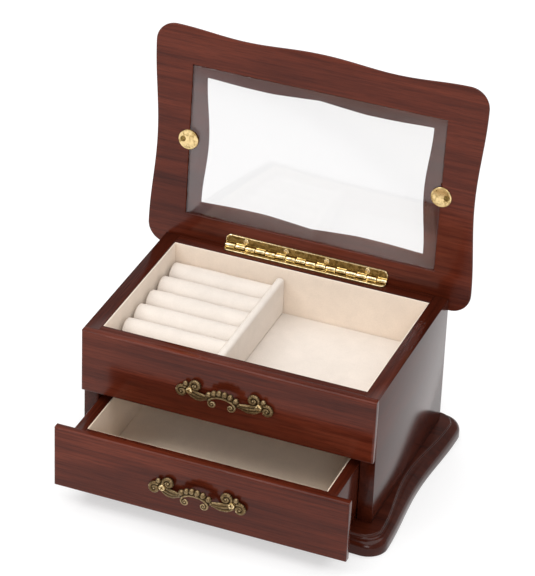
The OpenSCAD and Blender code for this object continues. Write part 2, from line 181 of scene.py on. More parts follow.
def add_tube(bm, points, radii, flatten=1.0, up=(0, -1, 0), steps=12):
    """A closed tube along points, rounded at its ends. flatten scales its section along up."""
    points = [Vector(p) for p in points]
    up = Vector(up)
    rings = []
    end_shares = (0.55, 0.85)
    last = len(points) - 1

    def ring(centre, tangent, radius):
        across = tangent.cross(up).normalized()
        rise = across.cross(tangent).normalized()
        return [bm.verts.new(centre + across * math.cos(a) * radius
                             + rise * math.sin(a) * radius * flatten)
                for a in (2 * math.pi * i / steps for i in range(steps))]

    def direction(i):
        return (points[min(i + 1, last)] - points[max(i - 1, 0)]).normalized()

    start, end = direction(0), direction(last)
    first = bm.verts.new(points[0] - start * radii[0])
    for e in end_shares:
        rings.append(ring(points[0] - start * radii[0] * math.sqrt(1 - e * e), start, radii[0] * e))
    for i, p in enumerate(points):
        rings.append(ring(p, direction(i), radii[i]))
    for e in reversed(end_shares):
        rings.append(ring(points[-1] + end * radii[-1] * math.sqrt(1 - e * e), end, radii[-1] * e))
    final = bm.verts.new(points[-1] + end * radii[-1])
    for a, b in zip(rings, rings[1:]):
        bridge(bm, a, b)
    for i in range(steps):
        j = (i + 1) % steps
        bm.faces.new((first, rings[0][j], rings[0][i]))
        bm.faces.new((final, rings[-1][i], rings[-1][j]))


def smooth_path(points, steps=6):
    """A Catmull-Rom curve through tuples of numbers."""
    rows = [tuple(p) for p in points]
    rows = [tuple(2 * a - b for a, b in zip(rows[0], rows[1]))] + rows
    rows.append(tuple(2 * a - b for a, b in zip(rows[-1], rows[-2])))
    out = []
    for k in range(1, len(rows) - 2):
        p0, p1, p2, p3 = rows[k - 1:k + 3]
        for s in range(steps):
            t = s / steps
            out.append(tuple(
                0.5 * (2 * b + (c - a) * t + (2 * a - 5 * b + 4 * c - d) * t * t
                       + (3 * b - a - 3 * c + d) * t ** 3)
                for a, b, c, d in zip(p0, p1, p2, p3)))
    out.append(rows[-2])
    return out


# ---- materials ----


def new_material(name):
    material = bpy.data.materials.new(name)
    material.use_nodes = True
    tree = material.node_tree
    tree.nodes.clear()
    out = tree.nodes.new("ShaderNodeOutputMaterial")
    shader = tree.nodes.new("ShaderNodeBsdfPrincipled")
    tree.links.new(shader.outputs[0], out.inputs[0])
    return material, tree, shader


def add_node(tree, kind, **inputs):
    made = tree.nodes.new(kind)
    for key, value in inputs.items():
        made.inputs[key].default_value = value
    return made


def noise_at(tree, scale, detail=3.0, roughness=0.5, distortion=0.0, stretch=(1, 1, 1)):
    """Noise in the object's own space, scale in cycles a metre along each axis."""
    coords = tree.nodes.new("ShaderNodeTexCoord")
    mapping = add_node(tree, "ShaderNodeMapping", Scale=tuple(scale * s for s in stretch))
    tree.links.new(coords.outputs["Object"], mapping.inputs["Vector"])
    made = add_node(tree, "ShaderNodeTexNoise", Scale=1.0, Detail=detail, Roughness=roughness,
                    Distortion=distortion)
    tree.links.new(mapping.outputs[0], made.inputs["Vector"])
    return made.outputs[0]


def ramp(tree, source, stops):
    made = tree.nodes.new("ShaderNodeValToRGB")
    elements = made.color_ramp.elements
    while len(elements) < len(stops):
        elements.new(0.5)
    for element, (place, colour) in zip(elements, stops):
        element.position = place
        element.color = (*colour, 1)
    tree.links.new(source, made.inputs[0])
    return made.outputs[0]


def mix(tree, a, b, factor, blend):
    made = tree.nodes.new("ShaderNodeMix")
    made.data_type = "RGBA"
    made.blend_type = blend
    made.inputs[0].default_value = factor
    tree.links.new(a, made.inputs[6])
    tree.links.new(b, made.inputs[7])
    return made.outputs[2]


def to_range(tree, source, low, high, from_low=0.0, from_high=1.0):
    made = tree.nodes.new("ShaderNodeMapRange")
    for key, value in ((1, from_low), (2, from_high), (3, low), (4, high)):
        made.inputs[key].default_value = value
    tree.links.new(source, made.inputs[0])
    return made.outputs[0]


def bump(tree, source, strength, distance, normal=None):
    made = add_node(tree, "ShaderNodeBump", Strength=strength, Distance=distance)
    tree.links.new(source, made.inputs["Height"])
    if normal is not None:
        tree.links.new(normal, made.inputs["Normal"])
    return made.outputs[0]


def mahogany(name, along, deep, grain):
    """Lacquered mahogany, with its grain along X (0) or Y (1).

    A lower deep darkens the wood, and a lower grain evens it out.
    """
    material, tree, shader = new_material(name)

    def run(long_scale, cross_scale):
        return tuple(long_scale if i == along else cross_scale for i in range(3))

    figure = noise_at(tree, 1, 4, 0.55, 0.6, run(6, 70))
    streak = noise_at(tree, 1, 3, 0.6, 0.2, run(14, 520))
    pore = noise_at(tree, 1, 2, 0.5, 0.0, run(90, 2600))
    base = ramp(tree, figure, [
        (0.30, tuple(deep * c for c in (0.068, 0.0110, 0.0045))),
        (0.52, tuple(deep * c for c in (0.105, 0.0180, 0.0075))),
        (0.72, tuple(deep * c for c in (0.142, 0.0275, 0.0125)))])
    lines = ramp(tree, streak, [(0.34, (0.50, 0.42, 0.40)), (0.52, (1.0, 1.0, 1.0)),
                                (0.72, (1.28, 1.24, 1.2))])
    dots = ramp(tree, pore, [(0.36, (0.40, 0.32, 0.30)), (0.47, (1.0, 1.0, 1.0))])
    lined = mix(tree, base, lines, 0.85 * grain, "MULTIPLY")
    colour = mix(tree, lined, dots, 0.55 * grain, "MULTIPLY")
    tree.links.new(colour, shader.inputs["Base Color"])
    tree.links.new(to_range(tree, streak, 0.40, 0.56), shader.inputs["Roughness"])
    tree.links.new(bump(tree, pore, 0.10, 0.00006), shader.inputs["Normal"])
    peel = noise_at(tree, 260, 2)
    tree.links.new(bump(tree, peel, 0.05, 0.0002), shader.inputs["Coat Normal"])
    shader.inputs["Specular IOR Level"].default_value = 0.0
    shader.inputs["Coat Weight"].default_value = 1.0
    shader.inputs["Coat Roughness"].default_value = 0.18
    shader.inputs["Coat IOR"].default_value = 1.3
    return material


def velvet(name, colour):
    """Short-nap velvet: a fine pile, and soft patches where it lies another way."""
    material, tree, shader = new_material(name)
    nap = noise_at(tree, 2600, 2, 0.6)
    patch = noise_at(tree, 90, 3, 0.5, 0.4)
    shade = ramp(tree, patch, [(0.3, tuple(0.94 * c for c in colour)), (0.7, colour)])
    grains = ramp(tree, nap, [(0.3, (0.86, 0.85, 0.83)), (0.6, (1.0, 1.0, 1.0))])
    tree.links.new(mix(tree, shade, grains, 0.7, "MULTIPLY"), shader.inputs["Base Color"])
    tree.links.new(to_range(tree, nap, 0.82, 0.98), shader.inputs["Roughness"])
    soft = bump(tree, patch, 0.12, 0.0006)
    tree.links.new(bump(tree, nap, 0.35, 0.0002, soft), shader.inputs["Normal"])
    shader.inputs["Specular IOR Level"].default_value = 0.15
    shader.inputs["Sheen Weight"].default_value = 0.35
    shader.inputs["Sheen Roughness"].default_value = 0.45
    shader.inputs["Sheen Tint"].default_value = (1.0, 0.97, 0.92, 1)
    return material


def brass(name, low, high, rough):
    """Polished brass, mottled where it has dulled, with faint handling marks."""
    material, tree, shader = new_material(name)
    tarnish = noise_at(tree, 330, 4, 0.62, 0.6)
    marks = noise_at(tree, 1, 2, 0.5, 0.0, (600, 5200, 5200))
    tree.links.new(ramp(tree, tarnish, [(0.36, low), (0.56, high)]), shader.inputs["Base Color"])
    tree.links.new(to_range(tree, tarnish, rough * 2.2, rough, 0.3, 0.65),
                   shader.inputs["Roughness"])
    tree.links.new(bump(tree, marks, 0.08, 0.00004), shader.inputs["Normal"])
    shader.inputs["Metallic"].default_value = 1.0
    return material


def antique_brass(name):
    """Cast brass, dark in its hollows (patina and painted shade) and bright on worn ridges (wear
    and painted highlight).
    """
    material, tree, shader = new_material(name)
    geometry = tree.nodes.new("ShaderNodeNewGeometry")
    grime = noise_at(tree, 700, 4, 0.6)
    # Pointiness darkens the hollows and lightens the ridges: partly patina and wear, partly painted
    # shade in the hollows and painted highlight on the ridges.
    patina_shade_and_highlight = ramp(tree, geometry.outputs["Pointiness"], [(0.47, (0, 0, 0)), (0.55, (1, 1, 1))])
    mottled_patina_shade_and_highlight = mix(tree, patina_shade_and_highlight, grime, 0.2, "LINEAR_LIGHT")
    colour = ramp(tree, mottled_patina_shade_and_highlight, [(0.10, (0.020, 0.013, 0.006)), (0.50, (0.130, 0.082, 0.036)),
                                     (1.00, (0.80, 0.61, 0.35))])
    tree.links.new(colour, shader.inputs["Base Color"])
    tree.links.new(to_range(tree, mottled_patina_shade_and_highlight, 0.52, 0.30), shader.inputs["Roughness"])
    tree.links.new(bump(tree, grime, 0.25, 0.00008), shader.inputs["Normal"])
    shader.inputs["Metallic"].default_value = 1.0
    return material


def glass(name):
    """A thin clear pane: mostly see-through, with a faint mirror on each face."""
    material, tree, shader = new_material(name)
    smear = noise_at(tree, 22, 3, 0.6, 1.2)
    tree.links.new(to_range(tree, smear, 0.08, 0.12, 0.45, 0.8), shader.inputs["Roughness"])
    tint = ramp(tree, smear, [(0.3, (0.43, 0.41, 0.415)), (0.7, (0.46, 0.44, 0.445))])
    tree.links.new(tint, shader.inputs["Base Color"])
    tree.links.new(bump(tree, smear, 0.02, 0.0001), shader.inputs["Normal"])
    shader.inputs["Metallic"].default_value = 1.0
    shader.inputs["Alpha"].default_value = 0.155
    return material


def steel(name):
    material, tree, shader = new_material(name)
    marks = noise_at(tree, 700, 3, 0.6)
    tree.links.new(ramp(tree, marks, [(0.3, (0.42, 0.41, 0.38)), (0.7, (0.62, 0.61, 0.58))]),
                   shader.inputs["Base Color"])
    tree.links.new(to_range(tree, marks, 0.22, 0.42), shader.inputs["Roughness"])
    tree.links.new(bump(tree, marks, 0.1, 0.00005), shader.inputs["Normal"])
    shader.inputs["Metallic"].default_value = 1.0
    return material


# Copies of one lacquered mahogany at different darkness and grain. The side boards' copy is
# darkened as painted shade on the case sides.
WOOD_X = mahogany("mahogany_across", 0, 0.95, 0.75)
WOOD_Y = mahogany("mahogany_sides_painted_shade", 1, 0.52, 0.7)
WOOD_CASE = mahogany("mahogany_case", 0, 0.66, 0.7)
WOOD_PLINTH = mahogany("mahogany_plinth", 0, 0.42, 0.5)
WOOD_BOX = mahogany("mahogany_box", 1, 0.62, 0.7)
CREAM = velvet("velvet_cream", (0.755, 0.685, 0.62))
LINING = velvet("velvet_lining", (0.88, 0.76, 0.645))
# The drawer's velvet is the cream velvet tinted warmer and browner: painted shade and warm bounce
# light inside the drawer.
SHADED = velvet("velvet_drawer_painted_shade", (0.85, 0.69, 0.54))
GOLD = brass("polished_brass", (0.62, 0.46, 0.20), (0.95, 0.80, 0.50), 0.12)
# A darker copy of the polished brass, which paints shade and dark reflections onto the hinge
# plates, the hinge rod and the disc screws.
PAINTED_SHADE_GOLD = brass("shaded_brass", (0.13, 0.08, 0.022), (0.30, 0.20, 0.065), 0.2)
DISC_GOLD = brass("disc_brass", (0.42, 0.28, 0.10), (0.82, 0.62, 0.31), 0.16)
BRONZE = antique_brass("antique_brass")
SCREW_BRASS = brass("screw_brass", (0.50, 0.35, 0.15), (0.80, 0.62, 0.35), 0.2)
GLASS = glass("clear_glass")
STEEL = steel("screw_steel")

# ---- outlines ----

CORNER_R = 15.0
FRONT_WAVE = 3.0
SIDE_WAVE = 4.0
LID_W, LID_D, LID_POWER = 251.0, 176.0, 1.05
PLINTH_W, PLINTH_D, PLINTH_POWER, PLINTH_PINCH = 250.0, 180.0, 1.4, 0.5
WINDOW_W, WINDOW_D = 172.0, 99.6
WINDOW_WAVE, WINDOW_SIDE_WAVE = 1.5, 3.5
WINDOW_CREST, WINDOW_CREST_RUN = 2.9, 36
REBATE_W, REBATE_D, REBATE_H = 193.0, 118.8, 3.2
GLASS_T, GLASS_CLEAR, GLASS_SET, GLASS_EDGE_R = 3.0, 0.5, 0.1, 0.25


def serpentine(width, depth, radius, power, side_wave):
    """The moulded outline: crested front and back, drawn-in sides and round corners."""
    run_x, run_y = width / 2 - radius, depth / 2 - radius
    steps_x, steps_y, steps_r = 72, 40, 14
    half = []
    for i in range(steps_x + 1):
        x = -run_x + 2 * run_x * i / steps_x
        wave = math.sin(math.pi * (abs(x) / run_x) ** power) ** 2
        half.append((x, -depth / 2 + FRONT_WAVE * wave))
    for i in range(1, steps_r):
        a = math.radians(-90 + 90 * i / steps_r)
        half.append((run_x + radius * math.cos(a), -run_y + radius * math.sin(a)))
    for i in range(steps_y + 1):
        y = -run_y + 2 * run_y * i / steps_y
        wave = math.cos(math.pi / 2 * abs(y) / run_y) ** 2
        half.append((width / 2 - side_wave * wave, y))
    for i in range(1, steps_r):
        a = math.radians(90 * i / steps_r)
        half.append((run_x + radius * math.cos(a), run_y + radius * math.sin(a)))
    return half + [(-x, -y) for x, y in half]


def window_outline(grow=0.0):
    """The lid's window: a pointed crest in the middle of each long edge, and sharp corners."""
    run_x, run_y = WINDOW_W / 2, WINDOW_D / 2
    steps_x, steps_y = 64, 28
    half = []
    for i in range(steps_x):
        x = -run_x + 2 * run_x * i / steps_x
        base = WINDOW_WAVE * math.cos(math.pi / 2 * (abs(x) / run_x) ** 3) ** 2
        crest = WINDOW_CREST * (1 - min(1, abs(x) / WINDOW_CREST_RUN)) ** 1.1
        half.append((x, -(run_y - base + crest)))
    for i in range(steps_y):
        y = -run_y + 2 * run_y * i / steps_y
        half.append((run_x - WINDOW_SIDE_WAVE * math.cos(math.pi / 2 * abs(y) / run_y) ** 2, y))
    full = half + [(-x, -y) for x, y in half]
    return [(x * (1 + grow / run_x), y * (1 + grow / run_y)) for x, y in full]


def moulding_loops(bm, profile, width, depth, power, y, z, pinch=0.0):
    """One loop of vertices for each (inset, height) of the profile.

    pinch is how much the sides' waist deepens for each millimetre of inset.
    """
    loops = []
    for inset, height in profile:
        ring = serpentine(width - 2 * inset, depth - 2 * inset, CORNER_R - inset * 0.5, power,
                          SIDE_WAVE + pinch * inset)
        loops.append(add_loop(bm, [(px, py + y, z + height) for px, py in ring]))
    for a, b in zip(loops, loops[1:]):
        bridge(bm, a, b)
    return loops


def arc(centre, radius_in, radius_up, start, end, steps):
    """Points of an elliptical arc in (inset, height)."""
    return [(centre[0] + radius_in * math.cos(math.radians(start + (end - start) * i / steps)),
             centre[1] + radius_up * math.sin(math.radians(start + (end - start) * i / steps)))
            for i in range(steps + 1)]


# ---- case ----


def circle_loop(bm, x, y, z, radius, steps=32):
    return add_loop(bm, [(x + radius * math.cos(a), y + radius * math.sin(a), z)
                         for a in (2 * math.pi * i / steps for i in range(steps))])


def make_plinth():
    bm = bmesh.new()
    profile = [(0.5, 0.0), (0.12, 0.14), (0.0, 0.5), (0.0, 2.5)]
    profile += arc((4.6, 4.4), 4.6, 6.0, 180, 96, 12)
    profile += [(4.75, 10.45)]
    profile += arc((4.8, 12.2), 1.5, 1.7, -86, -12, 6)
    profile += arc((7.0, 12.9), 0.7, 0.7, 180, 90, 4)
    loops = moulding_loops(bm, profile, PLINTH_W, PLINTH_D, PLINTH_POWER, 0, 0, PLINTH_PINCH)
    mouths = []
    for x, y in PLINTH_SCREWS:
        mouth = circle_loop(bm, x, y, 0, COUNTERBORE_R + COUNTERBORE_EDGE)
        wall = circle_loop(bm, x, y, COUNTERBORE_EDGE, COUNTERBORE_R)
        floor = circle_loop(bm, x, y, PLINTH_HEAD_Z, COUNTERBORE_R)
        bridge(bm, mouth, wall)
        bridge(bm, wall, floor)
        fill(bm, floor)
        mouths.append(mouth)
    fill(bm, loops[0], *mouths)
    fill(bm, loops[-1])
    finish_mesh(bm, "plinth", WOOD_PLINTH, "case", None, 40, ["base_plinth"])


# Six screws go up through counterbores in the plinth
PLINTH_HEAD_R, PLINTH_HEAD_T, PLINTH_HEAD_Z = 3.6, 2.4, 3.4
COUNTERBORE_R, COUNTERBORE_EDGE = PLINTH_HEAD_R + 0.3, 0.3
plinth_screw_low, plinth_screw_high = cad_box("plinth_screws")
PLINTH_SCREWS = [
    (side * (plinth_screw_high.x - PLINTH_HEAD_R), y)
    for side in (-1, 1)
    for y in (plinth_screw_low.y + PLINTH_HEAD_R, (plinth_screw_low.y + plinth_screw_high.y) / 2,
              plinth_screw_high.y - PLINTH_HEAD_R)]

make_plinth()

TIGHT_R, CASE_R, BOX_END_R, BOX_SIDE_R, FRONT_NOSE_R = 0.15, 0.3, 0.5, 0.6, 1.6
DRAWER_FACE_GAP = 0.15

cad_board("side_left", "case_side_left", WOOD_Y, "case", CASE_R)
cad_board("side_right", "case_side_right", WOOD_Y, "case", CASE_R)
cad_board("back_panel", "case_back", WOOD_CASE, "case", TIGHT_R)
cad_board("front_wall", "case_front_wall", WOOD_CASE, "case", TIGHT_R)
cad_board("false_front", "upper_front", WOOD_X, "case", CASE_R, nose=FRONT_NOSE_R)
cad_board("tray_board", "tray_base", WOOD_BOX, "case", CASE_R)
cad_board("drawer_front", "drawer_face", WOOD_X, "drawer", CASE_R, DRAWER_FACE_GAP,
          FRONT_NOSE_R)
cad_board("drawer_inner_front", "drawer_box_front", WOOD_BOX, "drawer", BOX_END_R)
cad_board("drawer_side_left", "drawer_box_left", WOOD_BOX, "drawer", BOX_SIDE_R)
cad_board("drawer_side_right", "drawer_box_right", WOOD_BOX, "drawer", BOX_SIDE_R)
cad_board("drawer_back", "drawer_box_back", WOOD_BOX, "drawer", BOX_END_R)
cad_board("drawer_bottom", "drawer_box_bottom", WOOD_BOX, "drawer", CASE_R)

# ---- lid ----


def make_lid():
    bm = bmesh.new()
    profile = arc((0.5, 0.5), 0.5, 0.5, 270, 180, 4)
    profile += arc((0.6, 1.5), 0.6, 0.6, 180, 90, 3)
    profile += arc((2.0, 9.5), 6.0, 7.2, -90, 0, 14)
    profile += arc((9.5, 10.5), 1.5, 1.5, 180, 90, 5)
    loops = moulding_loops(bm, profile, LID_W, LID_D, LID_POWER, LID_Y, LID_Z)
    half_w, half_d = REBATE_W / 2, REBATE_D / 2
    corners = [(-half_w, -half_d), (half_w, -half_d), (half_w, half_d), (-half_w, half_d)]
    arris = 0.35
    wide = [(x + math.copysign(arris, x), y + LID_Y + math.copysign(arris, y), LID_Z)
            for x, y in corners]
    mouth = add_loop(bm, wide)
    wall_low = add_loop(bm, [(x, y + LID_Y, LID_Z + arris) for x, y in corners])
    wall_high = add_loop(bm, [(x, y + LID_Y, LID_Z + REBATE_H) for x, y in corners])
    bridge(bm, mouth, wall_low)
    bridge(bm, wall_low, wall_high)
    fill(bm, loops[0], mouth)

    def window(grow, height):
        return add_loop(bm, [(x, y + LID_Y, LID_Z + height) for x, y in window_outline(grow)])

    rings = [window(0.45, REBATE_H), window(0.12, REBATE_H + 0.14), window(0.0, REBATE_H + 0.5),
             window(0.0, REBATE_H + 1.0), window(0.3, REBATE_H + 1.5), window(6.9, LID_T - 0.75),
             window(7.5, LID_T - 0.25), window(8.3, LID_T)]
    fill(bm, wall_high, rings[0])
    for a, b in zip(rings, rings[1:]):
        bridge(bm, a, b)
    fill(bm, loops[-1], rings[-1])
    return finish_mesh(bm, "lid_wood", WOOD_X, "lid", TO_OPEN_LID, 40, ["lid_frame"])


make_lid()
pane_w = REBATE_W / 2 - GLASS_CLEAR
pane_d = REBATE_D / 2 - GLASS_CLEAR
pane_z = LID_Z + GLASS_SET
board("lid_pane", (-pane_w, LID_Y - pane_d, pane_z), (pane_w, LID_Y + pane_d, pane_z + GLASS_T),
      GLASS, "lid", GLASS_EDGE_R, 2, TO_OPEN_LID, ["glass_pane"])

# ---- hinge ----

KNUCKLE_L = 2 * HINGE_HALF / KNUCKLES
KNUCKLE_GAP, KNUCKLE_BORE_R, KNUCKLE_LIP = 0.45, 0.95, 0.3
WEB_GAP, WEB_REACH, WEB_TUCK = 0.5, 0.9, 0.2
LEAF_GAP, LEAF_CORNER_R = 0.32, 4.0
LEAF_BEVEL_IN, LEAF_BEVEL_UP = 0.25, 0.2
LEAF_RIM_INSET, LEAF_RIM_R, LEAF_RIM_LIFT = 0.45, 0.5, 0.02


def add_knuckles(bm, first):
    """Every second knuckle of the barrel, with its ends eased."""
    for i in range(first, KNUCKLES, 2):
        x0 = -HINGE_HALF + i * KNUCKLE_L + KNUCKLE_GAP / 2
        length = KNUCKLE_L - KNUCKLE_GAP
        bore, turn, lip = KNUCKLE_BORE_R, KNUCKLE_R, KNUCKLE_LIP
        add_ring_lathe(bm, [(bore, 0), (turn - lip, 0), (turn - lip * 0.3, lip * 0.3), (turn, lip),
                            (turn, length - lip), (turn - lip * 0.3, length - lip * 0.3),
                            (turn - lip, length), (bore, length)],
                       (x0, HINGE_Y, HINGE_Z), (1, 0, 0), 36)


def add_ring_lathe(bm, profile, centre, axis, steps):
    """A solid of revolution with a hole through it."""
    axis = Vector(axis)
    side = axis.orthogonal().normalized()
    other = axis.cross(side)
    rings = [add_loop(bm, [Vector(centre) + axis * height
                           + (side * math.cos(a) + other * math.sin(a)) * radius
                           for a in (2 * math.pi * i / steps for i in range(steps))])
             for radius, height in profile]
    for a, b in zip(rings, rings[1:] + rings[:1]):
        bridge(bm, a, b)


def leaf_outline(width, inset):
    """A leaf's plate: straight beside the barrel, rounded at its two far corners."""
    radius = LEAF_CORNER_R - inset
    near = HINGE_Y - KNUCKLE_R - LEAF_GAP
    far = HINGE_Y - width + inset
    half = HINGE_HALF - inset
    points = [(half, near)]
    for i in range(9):
        a = math.radians(-90 * i / 8)
        points.append((half - radius + radius * math.cos(a), far + radius + radius * math.sin(a)))
    return points + [(-x, y) for x, y in reversed(points)]


def make_leaf(name, width, z_face, z_back, first, body, matrix, replaces):
    """A leaf's knuckles, its webs and the raised rim round its plate, and the plate itself."""
    outer = leaf_outline(width, 0.0)
    inner = leaf_outline(width, LEAF_BEVEL_IN)
    rise = 1 if z_face > z_back else -1
    bm = bmesh.new()
    back = add_loop(bm, [(x, y, z_back) for x, y in outer])
    edge = add_loop(bm, [(x, y, z_face - rise * LEAF_BEVEL_UP) for x, y in outer])
    face = add_loop(bm, [(x, y, z_face) for x, y in inner])
    bridge(bm, back, edge)
    bridge(bm, edge, face)
    fill(bm, back)
    fill(bm, face)
    # The plate takes the darker brass copy: painted shade and dark reflection.
    finish_mesh(bm, name + "_plate", PAINTED_SHADE_GOLD, body, matrix, 30, replaces)
    bm = bmesh.new()
    rim = leaf_outline(width, LEAF_RIM_INSET)
    add_tube(bm, [(x, y, z_face + rise * LEAF_RIM_LIFT) for x, y in rim],
             [LEAF_RIM_R] * len(rim), 1.0, (0, 0, 1), 10)
    web_y0, web_y1 = HINGE_Y - KNUCKLE_R - WEB_REACH, HINGE_Y - WEB_TUCK
    web = [(web_y0, z_back), (web_y1, z_back), (web_y1, z_face), (web_y0, z_face)]
    for i in range(first, KNUCKLES, 2):
        x0 = -HINGE_HALF + i * KNUCKLE_L + WEB_GAP / 2
        x1 = x0 + KNUCKLE_L - WEB_GAP
        a = add_loop(bm, [(x0, y, z) for y, z in web])
        b = add_loop(bm, [(x1, y, z) for y, z in web])
        bridge(bm, a, b)
        bm.faces.new(a)
        bm.faces.new(b)
    add_knuckles(bm, first)
    return finish_mesh(bm, name + "_barrel", GOLD, body, matrix, 30, replaces)


UPPER_LEAF_W, LOWER_LEAF_W = 8.4, 6.2
make_leaf("hinge_lower", LOWER_LEAF_W, RIM_Z + LEAF_T, RIM_Z, 0, "case", None, ["hinge_leaf_lower"])
make_leaf("hinge_upper", UPPER_LEAF_W, LID_Z - LEAF_T, LID_Z, 1, "lid", TO_OPEN_LID,
          ["hinge_leaf_upper"])

# ---- screws ----


def cross_screw(name, centres, axis, radius, height, material, body, matrix, replaces,
                sink=0.0):
    """Round screw heads, each with a cross recess in its top. sink is how deep their foot goes."""
    axis = Vector(axis).normalized()
    side = axis.orthogonal().normalized()
    other = axis.cross(side)
    steps = 40
    arm, half_slot = 0.68 * radius, 0.16 * radius
    corners = [(arm, -half_slot), (arm, half_slot), (half_slot, half_slot)]
    cross = [(x * math.cos(t) - y * math.sin(t), x * math.sin(t) + y * math.cos(t))
             for t in (math.pi / 2 * quarter for quarter in range(4)) for x, y in corners]
    profile = [(radius, -sink), (radius, 0.25 * height)]
    profile += [(radius * (0.72 + 0.28 * math.cos(math.radians(a))),
                 height * (0.25 + 0.7 * math.sin(math.radians(a)))) for a in (25, 50, 70, 90)]
    bm = bmesh.new()
    for k, centre in enumerate(centres):
        turn = math.radians(20 + 37 * k)

        def at(x, y, z):
            u = x * math.cos(turn) - y * math.sin(turn)
            v = x * math.sin(turn) + y * math.cos(turn)
            return Vector(centre) + side * u + other * v + axis * z

        rings = [add_loop(bm, [at(r * math.cos(2 * math.pi * n / steps),
                                  r * math.sin(2 * math.pi * n / steps), z)
                               for n in range(steps)]) for r, z in profile]
        for a, b in zip(rings, rings[1:]):
            bridge(bm, a, b)
        fill(bm, rings[0])
        lip = add_loop(bm, [at(x, y, height) for x, y in cross])
        floor = add_loop(bm, [at(0.85 * x, 0.85 * y, 0.3 * height - sink * 0.6) for x, y in cross])
        fill(bm, rings[-1], lip)
        bridge(bm, lip, floor)
        fill(bm, floor)
    return finish_mesh(bm, name, material, body, matrix, 40, replaces)


cross_screw("plinth_screw_heads", [(x, y, PLINTH_HEAD_Z) for x, y in PLINTH_SCREWS], (0, 0, -1),
            PLINTH_HEAD_R, PLINTH_HEAD_T, STEEL, "case", None, ["plinth_screws"])

LEAF_SCREW_X = [(i - 1.5) * 2 * HINGE_HALF / 4 for i in range(4)]
LOWER_SCREW_Y, LOWER_HEAD_R, LOWER_HEAD_T, LOWER_HEAD_SINK = HINGE_Y - 4.1, 1.9, 0.25, 0.5
UPPER_SCREW_Y, UPPER_HEAD_R, UPPER_HEAD_T, UPPER_HEAD_SINK = HINGE_Y - 5.0, 2.2, 0.8, 0.1

cross_screw("hinge_lower_screw_heads", [(x, LOWER_SCREW_Y, RIM_Z + LEAF_T) for x in LEAF_SCREW_X],
            (0, 0, 1), LOWER_HEAD_R, LOWER_HEAD_T, GOLD, "case", None,
            ["hinge_screws_lower"], LOWER_HEAD_SINK)
cross_screw("hinge_upper_screw_heads",
            [(x, UPPER_SCREW_Y, LID_Z - LEAF_T) for x in LEAF_SCREW_X],
            (0, 0, -1), UPPER_HEAD_R, UPPER_HEAD_T, GOLD, "lid", TO_OPEN_LID,
            ["hinge_screws_upper"], UPPER_HEAD_SINK)

bm = bmesh.new()
pin_r = (pin_high.z - pin_low.z) / 2
add_lathe(bm, [(0, 0.05), (pin_r * 0.7, 0.1), (pin_r, 0.4), (pin_r, 2 * HINGE_HALF - 0.4),
               (pin_r * 0.7, 2 * HINGE_HALF - 0.1), (0, 2 * HINGE_HALF - 0.05)],
          (-HINGE_HALF, HINGE_Y, HINGE_Z), (1, 0, 0), 32)
finish_mesh(bm, "hinge_rod", PAINTED_SHADE_GOLD, "case", None, 40, ["hinge_pin"])

# ---- glass retainers ----

RETAINER_R, RETAINER_T, RETAINER_SCREW_X, RETAINER_OFFSET = 7.75, 0.9, 101.0, 4.1
RETAINER_HEAD_R, RETAINER_HEAD_T = 2.1, 0.6

for side, body in ((-1, "retainer_left"), (1, "retainer_right")):
    bm = bmesh.new()
    r, t = RETAINER_R, RETAINER_T
    add_lathe(bm, [(0, 0.05), (r - 0.5, 0.05), (r - 0.1, 0.2), (r, 0.45), (r - 0.12, 0.72),
                   (r - 0.45, t - 0.03), (r - 1.1, t), (r - 1.5, t - 0.14), (0, t - 0.14)],
              (side * (RETAINER_SCREW_X - RETAINER_OFFSET), LID_Y, LID_Z), (0, 0, -1), 64)
    finish_mesh(bm, "glass_disc_" + ("left" if side < 0 else "right"), DISC_GOLD, body,
                TO_OPEN_LID, 50, [body])
cross_screw("glass_disc_screws",
            [(side * RETAINER_SCREW_X, LID_Y, LID_Z - RETAINER_T) for side in (-1, 1)],
            (0, 0, -1), RETAINER_HEAD_R, RETAINER_HEAD_T, PAINTED_SHADE_GOLD, "lid",
            TO_OPEN_LID, ["retainer_screws"])

# ---- pulls ----


def mirrored(points, side):
    return [(side * u, v, w) for u, v, w in points]


def spiral(u, v, start, turns, r_out, r_in, w, steps=26):
    """A scroll's centreline; turns below 0 run clockwise."""
    out = []
    for i in range(steps + 1):
        t = i / steps
        a = math.radians(start) + 2 * math.pi * turns * t
        r = r_out + (r_in - r_out) * t ** 0.85
        out.append((u + r * math.cos(a), v + r * math.sin(a), w + 0.5 * t))
    return out


def pull_tube(bm, points, radii, flatten=1.0):
    """A tube in the pull's own space: u along it, v up and w out from the panel."""
    add_tube(bm, [(u, -w, v) for u, v, w in points], radii, flatten)


def pull_blob(bm, u, v, w, size, turn=0.0):
    """An oval lump, turned in the pull's plane."""
    made = bmesh.ops.create_uvsphere(bm, u_segments=18, v_segments=12, radius=1)
    place = (Matrix.Translation((u, -w, v)) @ Matrix.Rotation(math.radians(turn), 4, "Y")
             @ Matrix.Diagonal((size[0], size[2], size[1], 1)))
    bmesh.ops.transform(bm, matrix=place, verts=made["verts"])


def taper(points, first, last, middle=None):
    """Radii that run evenly from first to last, through middle if it is given."""
    n = len(points) - 1
    if middle is None:
        return [first + (last - first) * i / n for i in range(n + 1)]
    return [first + (middle - first) * 2 * i / n if i < n / 2
            else middle + (last - middle) * (2 * i / n - 1) for i in range(n + 1)]


